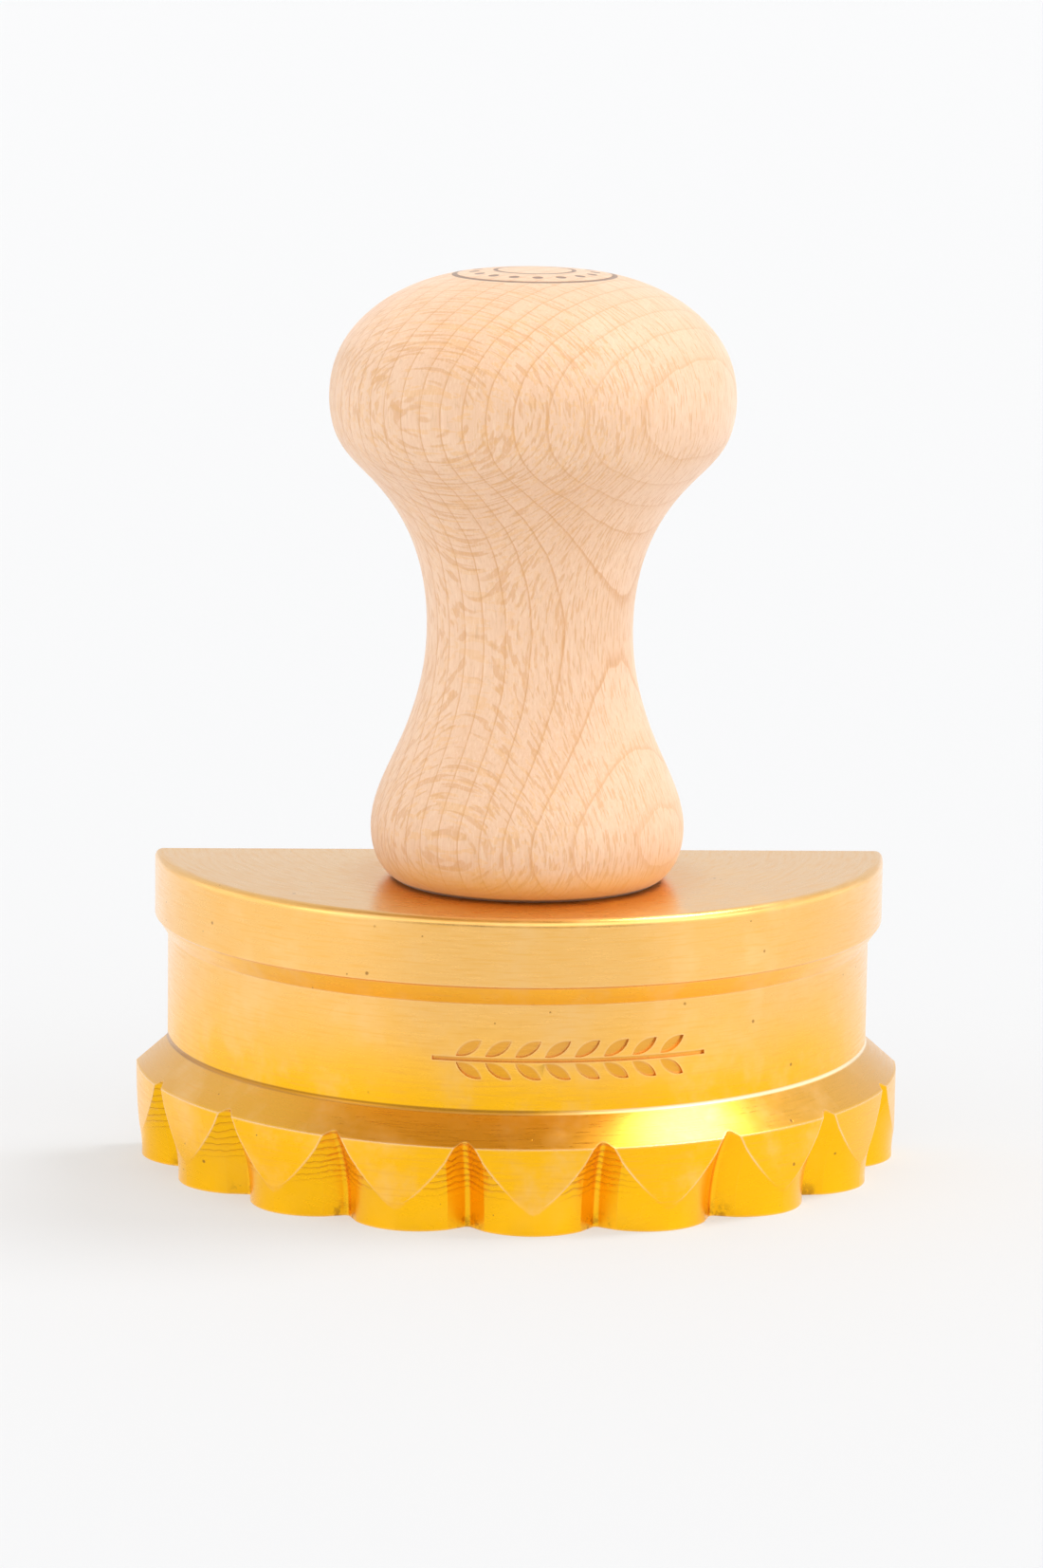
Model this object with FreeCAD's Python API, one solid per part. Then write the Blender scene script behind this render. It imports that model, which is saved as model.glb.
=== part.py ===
"""Half-moon pastry stamp: a scalloped brass body with a beech knob and a sprung ejector plate.

Units are millimetres. +Z is up and the base is Z = 0. The half disc bulges towards -Y and its
flat back faces +Y. The turned surfaces share the arc axis, a vertical line at X = 0, Y = ARC_Y.
"""
import FreeCAD, Part
import math
import os

# Brass body, turned about the arc axis and then cut in two
FLANGE_R = 52.7
FLANGE_H = 11.7
WAIST_R = 48.4
WAIST_BOTTOM = 15.45
WAIST_TOP = 30.0
RIM_R = 50.2
RIM_BOTTOM = 32.5
BODY_H = 41.7
RIM_ROUND = 1.1
WAIST_ROUND = 0.5
EDGE_BREAK = 0.2
BACK_SETBACK = 1.8

# Scallops: a form cutter plunged square to the arc axis
LOBE_PITCH = 20.0
FLUTE_COUNT = 10
LOBE_R = 52.46
LOBE_ROUND = 9.4
LOBE_HALF_ANGLE = 44.0
FLANK_ANGLE = 44.0
ROOT_ROUND = 0.7
CREST_RIDGE = 2.5
CUTTER_AXIS_R = 68.0
CUTTER_AXIS_Z = 0.7
CUTTER_OUTER_R = 56.0
CUTTER_OVERRUN = 0.4
CUTTER_BELOW = 12.0
CUTTER_ABOVE = 80.0

# Hollow of the body
CAVITY_R = 44.4
CAVITY_TOP = 35.2
CAVITY_CORNER = 4.0
BACK_WALL = 4.4
MOUTH_FLARE = 2.3
MOUTH_H = 3.4

# Engraved ear of wheat on the waist
EAR_Z = 22.6
EAR_TURN = 6.0
EAR_DEPTH = 0.45
GRAIN_COUNT = 8
GRAIN_STEP = 3.9
GRAIN_LENGTH = 4.0
GRAIN_WIDTH = 1.55
GRAIN_SLANT = 32.0
GRAIN_OFFSET = 1.5
STALK_WIDTH = 0.55
STALK_STEPS = 9.5

# Handle, turned about its own vertical axis over the half disc's centroid
HANDLE_OFFSET = 21.3
HANDLE_H = 81.6
KNOB_R = 27.0
HANDLE_PROFILE = [
    (17.6, 0.0),
    (20.35, 3.2),
    (21.0, 7.3),
    (17.4, 17.9),
    (14.25, 28.0),
    (13.85, 36.5),
    (16.5, 47.0),
    (21.4, 53.9),
    (25.6, 58.7),
    (KNOB_R, 64.6),
    (25.6, 71.0),
    (21.0, 76.4),
    (12.0, 80.6),
    (0.0, HANDLE_H),
]
FOOT_TANGENT = (1.0, 0.55)
HANDLE_BORE_R = 7.05
HANDLE_BORE_H = 28.0

# Wood screws that hold the handle from inside the body
SCREW_COUNT = 3
SCREW_CIRCLE_R = 12.8
SCREW_R = 2.0
SCREW_HEAD_R = 3.8
SCREW_HEAD_H = 2.3
SCREW_LENGTH = 26.0
SCREW_TIP_H = 4.0
SCREW_SLOT = 0.9
SCREW_SLOT_DEPTH = 1.2
SCREW_SLOT_ARM = 2.2
FIRST_SCREW = 90.0

# Ejector: bush, stem, plate, spring, washer and nut
STEM_R = 4.0
THREAD_R = 3.0
RUNNING_CLEARANCE = 0.05
BUSH_R = 7.0
BUSH_FLANGE_R = 8.5
BUSH_FLANGE_H = 1.5
BUSH_SPIGOT_H = 4.0
PLATE_CLEARANCE = 0.3
PLATE_BOTTOM = 0.5
PLATE_H = 12.0
PLATE_EDGE_BREAK = 0.6
DISH_BORDER = 7.5
DISH_H = 8.0
DISH_ROUND = 6.0
BOSS_R = 5.5
BOSS_H = 5.0
STUB_H = 8.0
WASHER_R = 6.4
WASHER_H = 1.6
NUT_FLATS = 10.0
NUT_H = 6.0
NUT_COLLAR_R = 4.6
NUT_HEX_H = 4.6
STEM_TIP = 1.5
SPRING_WIRE_R = 0.6
SPRING_MEAN_R = 6.4
SPRING_TURNS = 6.0

# How far a cutter runs past the surface that it cuts, and how close two levels count as one
OVERCUT = 1.0
SAME_LEVEL = 0.01

# Worked out from the above
ARC_Y = (FLANGE_R - (KNOB_R - HANDLE_OFFSET)) / 2
HANDLE_Y = ARC_Y - HANDLE_OFFSET
BUSH_BOTTOM = CAVITY_TOP - BUSH_FLANGE_H
BUSH_TOP = BODY_H + BUSH_SPIGOT_H
PLATE_TOP = PLATE_BOTTOM + PLATE_H
WASHER_TOP = BUSH_TOP + WASHER_H
NUT_TOP = WASHER_TOP + NUT_H

UP = FreeCAD.Vector(0, 0, 1)
ORIGIN = FreeCAD.Vector(0, 0, 0)


def vec(x, y, z):
    return FreeCAD.Vector(x, y, z)


def lines(points):
    """Straight edges through the points, left open."""
    return [Part.LineSegment(a, b).toShape() for a, b in zip(points, points[1:])]


def polygon_face(points):
    return Part.Face(Part.Wire(lines(points + points[:1])))


def turned(radius_height_pairs):
    """Solid of revolution about the Z axis from a closed outline of (radius, height) pairs."""
    outline = [vec(radius, 0, height) for radius, height in radius_height_pairs]
    return polygon_face(outline).revolve(ORIGIN, UP, 360)


def cylinder(radius, bottom, top):
    return Part.makeCylinder(radius, top - bottom, vec(0, 0, bottom), UP)


def on_handle_axis(shape):
    shape.translate(vec(0, HANDLE_Y, 0))
    return shape


def on_arc_axis(shape):
    shape.translate(vec(0, ARC_Y, 0))
    return shape


def half_moon_wire(radius, back, corner, height):
    """Closed outline round the arc axis: an arc in front, a straight back, rounded corners."""
    corner_y = -back - corner
    corner_x = math.sqrt((radius - corner) ** 2 - corner_y ** 2)
    touch = vec(corner_x, corner_y, 0) * (radius / (radius - corner))
    turn = math.atan2(corner_y, corner_x)
    middle = turn + (math.pi / 2 - turn) / 2
    bulge = vec(corner_x + corner * math.cos(middle), corner_y + corner * math.sin(middle), 0)
    back_end = vec(corner_x, -back, 0)
    mirrored = [vec(-p.x, p.y, 0) for p in (back_end, bulge, touch)]
    edges = [
        Part.Arc(mirrored[2], vec(0, -radius, 0), touch).toShape(),
        Part.Arc(touch, bulge, back_end).toShape(),
        Part.LineSegment(back_end, mirrored[0]).toShape(),
        Part.Arc(mirrored[0], mirrored[1], mirrored[2]).toShape(),
    ]
    wire = Part.Wire(edges)
    wire.translate(vec(0, 0, height))
    return wire


def half_moon(radius, back, corner, bottom, top):
    face = Part.Face(half_moon_wire(radius, back, corner, bottom))
    return face.extrude(vec(0, 0, top - bottom))


def edges_where(shape, test):
    return [edge for edge in shape.Edges if test(edge.BoundBox)]


def level(box, height):
    return abs(box.ZMin - height) < SAME_LEVEL and abs(box.ZMax - height) < SAME_LEVEL


def body_blank():
    """Turned profile, cut along the back, with rounded corners round the top plate."""
    blank = turned([
        (0, 0),
        (FLANGE_R - EDGE_BREAK, 0),
        (FLANGE_R, EDGE_BREAK),
        (FLANGE_R, FLANGE_H),
        (WAIST_R, WAIST_BOTTOM),
        (WAIST_R, WAIST_TOP),
        (RIM_R - EDGE_BREAK, RIM_BOTTOM),
        (RIM_R, RIM_BOTTOM + EDGE_BREAK),
        (RIM_R, BODY_H),
        (0, BODY_H),
    ])
    junction = edges_where(blank, lambda box: level(box, WAIST_BOTTOM))
    blank = blank.makeFillet(WAIST_ROUND, junction)
    width = 2 * (FLANGE_R + OVERCUT)
    depth = FLANGE_R + OVERCUT - BACK_SETBACK
    front = Part.makeBox(width, depth, BODY_H + 2 * OVERCUT, vec(-width / 2, -FLANGE_R - OVERCUT, -OVERCUT))
    blank = blank.common(front)
    corner_bottom = RIM_BOTTOM + EDGE_BREAK

    def rounded(box):
        upright = abs(box.ZMin - corner_bottom) < SAME_LEVEL and abs(box.ZMax - BODY_H) < SAME_LEVEL
        return level(box, BODY_H) or (upright and box.XLength < SAME_LEVEL)

    return blank.makeFillet(RIM_ROUND, edges_where(blank, rounded))


def flute_cutter():
    """Space swept by the form cutter at one valley, with the valley on the -Y side.

    Its outline runs from the crest of one lobe, down the flank and round the root, to the crest of
    the next, and overruns both crests, so that two neighbouring cuts meet in a faint ridge. It
    swings about a level axis, so a flute is upright at the base and runs out above.
    """
    lean = math.radians(LOBE_PITCH / 2)
    ridge = math.radians(CREST_RIDGE / 2)
    half = math.radians(LOBE_HALF_ANGLE)
    flank = math.radians(FLANK_ANGLE)
    centre_x = LOBE_R * math.sin(lean) - LOBE_ROUND * math.sin(lean - ridge)
    centre_r = LOBE_R * math.cos(lean) - LOBE_ROUND * math.cos(lean - ridge)

    def on_lobe(angle):
        return (centre_x + LOBE_ROUND * math.sin(lean - angle),
                centre_r + LOBE_ROUND * math.cos(lean - angle))

    past_crest = on_lobe(0)
    arc_middle = on_lobe(half / 2)
    arc_end = on_lobe(half)
    root_centre = arc_end[1] - arc_end[0] * math.tan(flank) + ROOT_ROUND / math.cos(flank)
    root_end = (ROOT_ROUND * math.sin(flank), root_centre - ROOT_ROUND * math.cos(flank))
    root_bottom = (0, root_centre - ROOT_ROUND)
    overrun = (past_crest[0] + CUTTER_OVERRUN * math.cos(lean),
               past_crest[1] - CUTTER_OVERRUN * math.sin(lean))
    outer = (overrun[0], CUTTER_OUTER_R)

    def right(point):
        return vec(point[0], -point[1], CUTTER_AXIS_Z)

    def left(point):
        return vec(-point[0], -point[1], CUTTER_AXIS_Z)

    edges = lines([left(root_end), left(arc_end)])
    edges.append(Part.Arc(left(arc_end), left(arc_middle), left(past_crest)).toShape())
    edges += lines([left(past_crest), left(overrun), left(outer)])
    edges += lines([left(outer), right(outer), right(overrun), right(past_crest)])
    edges.append(Part.Arc(right(past_crest), right(arc_middle), right(arc_end)).toShape())
    edges += lines([right(arc_end), right(root_end)])
    edges.append(Part.Arc(right(root_end), right(root_bottom), left(root_end)).toShape())
    outline = Part.Face(Part.Wire(edges))
    axis_point = vec(0, -CUTTER_AXIS_R, CUTTER_AXIS_Z)
    across = vec(1, 0, 0)
    outline.rotate(axis_point, across, -CUTTER_BELOW)
    return outline.revolve(axis_point, across, CUTTER_BELOW + CUTTER_ABOVE)


def flutes():
    first = -LOBE_PITCH * (FLUTE_COUNT - 1) / 2
    cutters = []
    for index in range(FLUTE_COUNT):
        cutter = flute_cutter()
        cutter.rotate(ORIGIN, UP, first + index * LOBE_PITCH)
        cutters.append(cutter)
    return cutters


def cavity():
    """Half-moon hollow for the ejector, flared at its mouth so the rim comes to a narrow land."""
    back = BACK_SETBACK + BACK_WALL
    hollow = half_moon(CAVITY_R, back, CAVITY_CORNER, 0, CAVITY_TOP)
    mouth = Part.makeLoft([
        half_moon_wire(CAVITY_R + MOUTH_FLARE, back - MOUTH_FLARE, CAVITY_CORNER + MOUTH_FLARE, 0),
        half_moon_wire(CAVITY_R, back, CAVITY_CORNER, MOUTH_H),
    ], True, True)
    return hollow.fuse(mouth)


def grain(side, index):
    """Cutter for one grain: a leaf shape that points along the ear, on one side of the stalk."""
    half_length = GRAIN_LENGTH / 2
    tip = vec(half_length, 0, 0)
    tail = vec(-half_length, 0, 0)
    leaf = Part.Face(Part.Wire([
        Part.Arc(tail, vec(0, GRAIN_WIDTH / 2, 0), tip).toShape(),
        Part.Arc(tip, vec(0, -GRAIN_WIDTH / 2, 0), tail).toShape(),
    ]))
    leaf.rotate(ORIGIN, UP, side * GRAIN_SLANT)
    leaf.translate(vec(0, side * GRAIN_OFFSET, 0))
    leaf.rotate(ORIGIN, vec(1, 0, 0), 90)
    cutter = leaf.extrude(vec(0, -EAR_DEPTH - OVERCUT, 0))
    cutter.translate(vec(0, -WAIST_R + EAR_DEPTH, EAR_Z))
    place = (index - (GRAIN_COUNT - 1) / 2) * GRAIN_STEP
    cutter.rotate(ORIGIN, UP, EAR_TURN + math.degrees(place / WAIST_R))
    return cutter


def stalk():
    """Cutter for the stalk: a thin ring sector let into the waist along the middle of the ear."""
    half_width = STALK_WIDTH / 2
    outer = WAIST_R + OVERCUT
    inner = WAIST_R - EAR_DEPTH
    spread = math.degrees(STALK_STEPS * GRAIN_STEP / WAIST_R)
    section = polygon_face([
        vec(0, -inner, EAR_Z - half_width),
        vec(0, -outer, EAR_Z - half_width),
        vec(0, -outer, EAR_Z + half_width),
        vec(0, -inner, EAR_Z + half_width),
    ])
    section.rotate(ORIGIN, UP, EAR_TURN - spread / 2)
    return section.revolve(ORIGIN, UP, spread)


def ear_of_wheat():
    grains = [grain(side, index) for index in range(GRAIN_COUNT) for side in (-1, 1)]
    return grains + [stalk()]


def screw_places():
    return [FIRST_SCREW + index * 360 / SCREW_COUNT for index in range(SCREW_COUNT)]


def at_screw(shape, angle):
    shape.translate(vec(SCREW_CIRCLE_R, 0, 0))
    shape.rotate(ORIGIN, UP, angle)
    return on_handle_axis(shape)


def screw_blank():
    """Countersunk head at the bottom, plain shank, pointed tip at the top."""
    bottom = CAVITY_TOP
    top = bottom + SCREW_LENGTH
    return turned([
        (0, bottom),
        (SCREW_HEAD_R, bottom),
        (SCREW_R, bottom + SCREW_HEAD_H),
        (SCREW_R, top - SCREW_TIP_H),
        (0, top),
    ])


def screw():
    cross = []
    for half_x, half_y in ((SCREW_SLOT_ARM, SCREW_SLOT / 2), (SCREW_SLOT / 2, SCREW_SLOT_ARM)):
        corner = vec(-half_x, -half_y, CAVITY_TOP - OVERCUT)
        cross.append(Part.makeBox(2 * half_x, 2 * half_y, OVERCUT + SCREW_SLOT_DEPTH, corner))
    return screw_blank().cut(cross)


def handle_screws():
    return Part.Compound([at_screw(screw(), angle) for angle in screw_places()])


def die_body():
    body = body_blank().cut(flutes())
    body = body.cut(cavity())
    body = body.cut(ear_of_wheat())
    body = on_arc_axis(body)
    bores = [on_handle_axis(cylinder(BUSH_R, CAVITY_TOP - OVERCUT, BODY_H + OVERCUT))]
    bores += [at_screw(screw_blank(), angle) for angle in screw_places()]
    return body.cut(bores)


def beech_handle():
    points = [vec(radius, 0, height) for radius, height in HANDLE_PROFILE]
    foot = vec(FOOT_TANGENT[0], 0, FOOT_TANGENT[1])
    outline = Part.BSplineCurve()
    outline.interpolate(Points=points, InitialTangent=foot, FinalTangent=vec(-1, 0, 0), Scale=False)
    start, end = points[0], points[-1]
    edges = [outline.toShape()] + lines([end, ORIGIN, start])
    handle = Part.Face(Part.Wire(edges)).revolve(ORIGIN, UP, 360)
    handle = handle.cut(cylinder(HANDLE_BORE_R, -OVERCUT, HANDLE_BORE_H))
    handle.translate(vec(0, 0, BODY_H))
    handle = on_handle_axis(handle)
    return handle.cut([at_screw(screw_blank(), angle) for angle in screw_places()])


def guide_bush():
    bore = STEM_R + RUNNING_CLEARANCE
    return on_handle_axis(turned([
        (bore, BUSH_BOTTOM),
        (BUSH_FLANGE_R, BUSH_BOTTOM),
        (BUSH_FLANGE_R, CAVITY_TOP),
        (BUSH_R, CAVITY_TOP),
        (BUSH_R, BUSH_TOP - EDGE_BREAK),
        (BUSH_R - EDGE_BREAK, BUSH_TOP),
        (bore, BUSH_TOP),
    ]))


def ejector_plate():
    back = BACK_SETBACK + BACK_WALL + PLATE_CLEARANCE
    radius = CAVITY_R - PLATE_CLEARANCE
    corner = CAVITY_CORNER - PLATE_CLEARANCE
    plate = half_moon(radius, back, corner, PLATE_BOTTOM, PLATE_TOP)
    plate = plate.makeChamfer(PLATE_EDGE_BREAK, edges_where(plate, lambda box: level(box, PLATE_TOP)))
    dish_top = PLATE_BOTTOM + DISH_H
    dish_corner = corner + DISH_BORDER / 2
    dish = half_moon(radius - DISH_BORDER, back + DISH_BORDER, dish_corner, PLATE_BOTTOM - DISH_H, dish_top)
    dish = dish.makeFillet(DISH_ROUND, edges_where(dish, lambda box: level(box, dish_top)))
    plate = on_arc_axis(plate.cut(dish))
    shoulder = PLATE_TOP + BOSS_H
    boss = on_handle_axis(cylinder(BOSS_R, PLATE_TOP, shoulder))
    thread = on_handle_axis(cylinder(THREAD_R, shoulder - STUB_H, shoulder + OVERCUT))
    return plate.fuse(boss).removeSplitter().cut(thread)


def ejector_stem():
    shoulder = PLATE_TOP + BOSS_H
    top = NUT_TOP + STEM_TIP
    return on_handle_axis(turned([
        (0, shoulder - STUB_H),
        (THREAD_R, shoulder - STUB_H),
        (THREAD_R, shoulder),
        (STEM_R, shoulder),
        (STEM_R, BUSH_TOP),
        (THREAD_R, BUSH_TOP),
        (THREAD_R, top - EDGE_BREAK),
        (THREAD_R - EDGE_BREAK, top),
        (0, top),
    ]))


def stop_washer():
    return on_handle_axis(turned([
        (THREAD_R, BUSH_TOP),
        (WASHER_R, BUSH_TOP),
        (WASHER_R, WASHER_TOP),
        (THREAD_R, WASHER_TOP),
    ]))


def stem_lock_nut():
    """Hexagon nut with chamfered corners and the round collar of a locking insert on top."""
    corner = NUT_FLATS / math.sqrt(3)
    hexagon = polygon_face([
        vec(corner * math.cos(math.radians(60 * k)), corner * math.sin(math.radians(60 * k)), WASHER_TOP)
        for k in range(6)
    ]).extrude(vec(0, 0, NUT_HEX_H))
    slope = (corner - NUT_FLATS / 2) / 2
    round_off = turned([
        (0, WASHER_TOP),
        (NUT_FLATS / 2, WASHER_TOP),
        (corner, WASHER_TOP + slope),
        (corner, WASHER_TOP + NUT_HEX_H - slope),
        (NUT_FLATS / 2, WASHER_TOP + NUT_HEX_H),
        (0, WASHER_TOP + NUT_HEX_H),
    ])
    nut = hexagon.common(round_off)
    nut = nut.fuse(cylinder(NUT_COLLAR_R, WASHER_TOP + NUT_HEX_H, NUT_TOP)).removeSplitter()
    return on_handle_axis(nut.cut(cylinder(THREAD_R, WASHER_TOP - OVERCUT, NUT_TOP + OVERCUT)))


def return_spring():
    bottom = PLATE_TOP + SPRING_WIRE_R
    height = BUSH_BOTTOM - SPRING_WIRE_R - bottom
    helix = Part.makeHelix(height / SPRING_TURNS, height, SPRING_MEAN_R)
    wire_end = Part.Circle(vec(SPRING_MEAN_R, 0, 0), vec(0, 1, 0), SPRING_WIRE_R).toShape()
    spring = Part.Wire(helix).makePipeShell([Part.Wire(wire_end)], True, True)
    spring.translate(vec(0, 0, bottom))
    return on_handle_axis(spring)


NODES = {
    "die_body": die_body,
    "beech_handle": beech_handle,
    "handle_screws": handle_screws,
    "guide_bush": guide_bush,
    "ejector_plate": ejector_plate,
    "ejector_stem": ejector_stem,
    "stop_washer": stop_washer,
    "stem_lock_nut": stem_lock_nut,
    "return_spring": return_spring,
}


def main():
    os.makedirs("parts", exist_ok=True)
    for name, make in NODES.items():
        shape = make()
        box = shape.BoundBox
        print("%-16s solids %d valid %s volume %9.1f  x %7.2f %7.2f  y %7.2f %7.2f  z %7.2f %7.2f" % (
            name, len(shape.Solids), shape.isValid(), shape.Volume,
            box.XMin, box.XMax, box.YMin, box.YMax, box.ZMin, box.ZMax))
        shape.exportStep("parts/%s.step" % name)


main()
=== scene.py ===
"""Looks for the half-moon pastry stamp: brass, beech and steel finishes, a wound spring, a studio."""
import bpy
import math
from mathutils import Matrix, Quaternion, Vector
from types import SimpleNamespace


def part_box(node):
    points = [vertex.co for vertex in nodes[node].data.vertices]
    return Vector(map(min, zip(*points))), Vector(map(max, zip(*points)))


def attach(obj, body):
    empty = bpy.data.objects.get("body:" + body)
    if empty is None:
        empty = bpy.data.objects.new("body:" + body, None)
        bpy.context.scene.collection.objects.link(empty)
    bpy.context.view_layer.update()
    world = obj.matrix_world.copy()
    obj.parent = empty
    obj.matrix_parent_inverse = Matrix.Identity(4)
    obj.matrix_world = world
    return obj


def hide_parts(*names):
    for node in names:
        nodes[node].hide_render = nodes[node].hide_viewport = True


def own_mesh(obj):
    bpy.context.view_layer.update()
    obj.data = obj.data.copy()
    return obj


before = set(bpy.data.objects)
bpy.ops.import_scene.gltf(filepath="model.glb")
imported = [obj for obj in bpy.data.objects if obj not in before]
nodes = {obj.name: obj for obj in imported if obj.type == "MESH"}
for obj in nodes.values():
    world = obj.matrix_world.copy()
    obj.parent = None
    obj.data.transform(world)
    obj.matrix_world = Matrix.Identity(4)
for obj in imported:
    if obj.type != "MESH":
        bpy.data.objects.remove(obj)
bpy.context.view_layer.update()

MM = 0.001

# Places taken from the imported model
body_low, body_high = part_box("die_body")
handle_low, handle_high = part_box("beech_handle")
spring_low, spring_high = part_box("return_spring")
HALF_WIDTH = (body_high.x - body_low.x) / 2
DEPTH = body_high.y - body_low.y
FLANGE_R = (HALF_WIDTH ** 2 + DEPTH ** 2) / (2 * DEPTH)
ARC_Y = body_low.y + FLANGE_R
HANDLE_X = (handle_low.x + handle_high.x) / 2
HANDLE_Y = (handle_low.y + handle_high.y) / 2
BODY_TOP = body_high.z
HANDLE_TOP = handle_high.z

# Levels on the brass body
FLANGE_TOP = 11.7 * MM
CHAMFER_RUN = 4.3 * MM
CHAMFER_RISE = 3.75 * MM
CHAMFER_SLOPE = CHAMFER_RUN / CHAMFER_RISE
WAIST_R = FLANGE_R - CHAMFER_RUN
BACK_SETBACK = ARC_Y - body_high.y
FLUTE_TOP = 14.0 * MM
WAIST_BOTTOM = 15.6 * MM
RIM_BOTTOM = 32.5 * MM
HOLLOW_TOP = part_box("guide_bush")[0].z + 1.5 * MM

# How far inside the flange's radius the masks put the hollow, and the band over which they fade
HOLLOW_INSET = 5.8 * MM
HOLLOW_FADE = 0.3 * MM

# How closely a rounded normal agrees with the true one on an edge and on an open face
AGREES_ON_EDGE = 0.93
AGREES_ON_FACE = 0.995

# Colours of the turned brass
# Painted bounce light: the waist, rim and flange colours go from pale to deep and saturated down the body
BRASS_WAIST = (0.985, 0.52, 0.062)
BRASS_RIM = (0.91, 0.515, 0.14)
BRASS_FLANGE = (0.985, 0.505, 0.005)
BRASS_CHAMFER = (0.83, 0.41, 0.03)
# Painted bounce light: brighter, more saturated colour on the slope under the rim, for the brass below
# reflected in it
BRASS_OVERHANG = (1.0, 0.50, 0.003)
BRASS_BLOTCH = (0.95, 0.64, 0.29)
BRASS_STREAK = (0.88, 0.43, 0.05)
BRASS_FLUTE = (1.0, 0.53, 0.002)
# Painted reflection and shade: a deeper ring on the top plate round the handle's foot, for the handle
# reflected in it
BRASS_PAINTED_REFLECTION = (0.82, 0.36, 0.01)
BRASS_SUNK = (0.74, 0.30, 0.01)
BRASS_BURR = (0.95, 0.72, 0.47)
BRASS_PIT = (0.30, 0.13, 0.02)
# Darker colour for the valleys between lobes near the foot
BRASS_DARK_VALLEY = (0.34, 0.13, 0.01)
# Painted shade: dark line where the waist meets the chamfer, strongest on the left
BRASS_PAINTED_SHADE = (0.30, 0.11, 0.01)
# Painted highlight: bright line where the waist meets the chamfer, on the right
BRASS_PAINTED_HIGHLIGHT = (1.0, 0.86, 0.60)
BRASS_HOLLOW = (0.70, 0.42, 0.13)
BRASS_CHATTER = (0.50, 0.18, 0.005)
BRASS_SAWN = (0.86, 0.42, 0.06)

# Tool marks on the turned brass: chatter in the flutes, and the point that the saw marks curve about
FLUTES_PER_TURN = 18
CHATTER_STEP = 0.95 * MM
SAW_CENTRE_X = -110.0 * MM
SAW_CENTRE_Z = 20.0 * MM

# Colours of the milled brass plate, and the point that its tool arcs curve about
PLATE_DEEP = (0.86, 0.49, 0.10)
PLATE_PALE = (0.90, 0.56, 0.19)
PLATE_ARC = (0.78, 0.42, 0.08)
PLATE_EDGE = (0.95, 0.74, 0.48)
PLATE_PIT = (0.30, 0.15, 0.03)
ARC_CENTRE_X = 200.0 * MM

# Colours of the beech
BEECH_WARM = (0.810, 0.530, 0.345)
BEECH_PALE = (0.850, 0.575, 0.390)
BEECH_STREAK = (0.75, 0.45, 0.25)
BEECH_LATE_WOOD = (0.72, 0.40, 0.19)
BEECH_RING = (0.66, 0.32, 0.13)
BEECH_FLECK = (0.80, 0.44, 0.15)
BEECH_DASH = (0.67, 0.33, 0.12)
BEECH_FIBRE = (0.93, 0.73, 0.55)
BEECH_PORE = (0.58, 0.34, 0.18)
# Painted bounce light from the brass, near the foot of the handle
BEECH_PAINTED_GLOW = (0.90, 0.50, 0.11)
# Painted contact shadow along the foot of the handle
BEECH_PAINTED_SHADOW = (0.13, 0.045, 0.008)
BURNT = (0.16, 0.065, 0.02)

# Burnt border on the knob's crown
BORDER_R = 10.6 * MM
BEADS_R = 8.0 * MM
INNER_R = 5.2 * MM
BEAD_COUNT = 16

# Growth rings of the beech: the turn of the layers about the handle's axis, and their spacing
RING_TURN = math.radians(56.0)
RING_SPACING = 2.9 * MM

# Camera
CAMERA_TARGET = Vector((-0.83 * MM, 2.13 * MM, 54.3 * MM))
CAMERA_AZIMUTH = math.radians(-2.81)
CAMERA_ELEVATION = math.radians(10.48)
CAMERA_ROLL = math.radians(0.79)
CAMERA_DISTANCE = 767.0 * MM
CAMERA_LENS = 131.4

# Floor: half its side, its gap under the part, its glow to the part and how much less the camera sees
FLOOR_HALF = 9.0
FLOOR_DROP = 0.02 * MM
FLOOR_COLOUR = (0.335, 0.35, 0.37)
GLOW_TO_PART = 0.56
GLOW_LESS_TO_CAMERA = 0.11

# Key lamp
KEY_ENERGY = 1.2
KEY_ANGLE = math.radians(18.0)
KEY_AIM = Vector((-0.42, -0.12, -0.90))

# Room: its colours, and how bright its surfaces are
CEILING_COLOUR = (0.50, 0.34, 0.16)
BACKDROP_COLOUR = (0.96, 0.96, 0.96)
ROOM_LEVEL = 0.20
WALL_LEVEL = 0.66
SIDE_LEVEL = 1.15
PANEL_LEFT = 1.15
PANEL_RIGHT = 1.75


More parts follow.
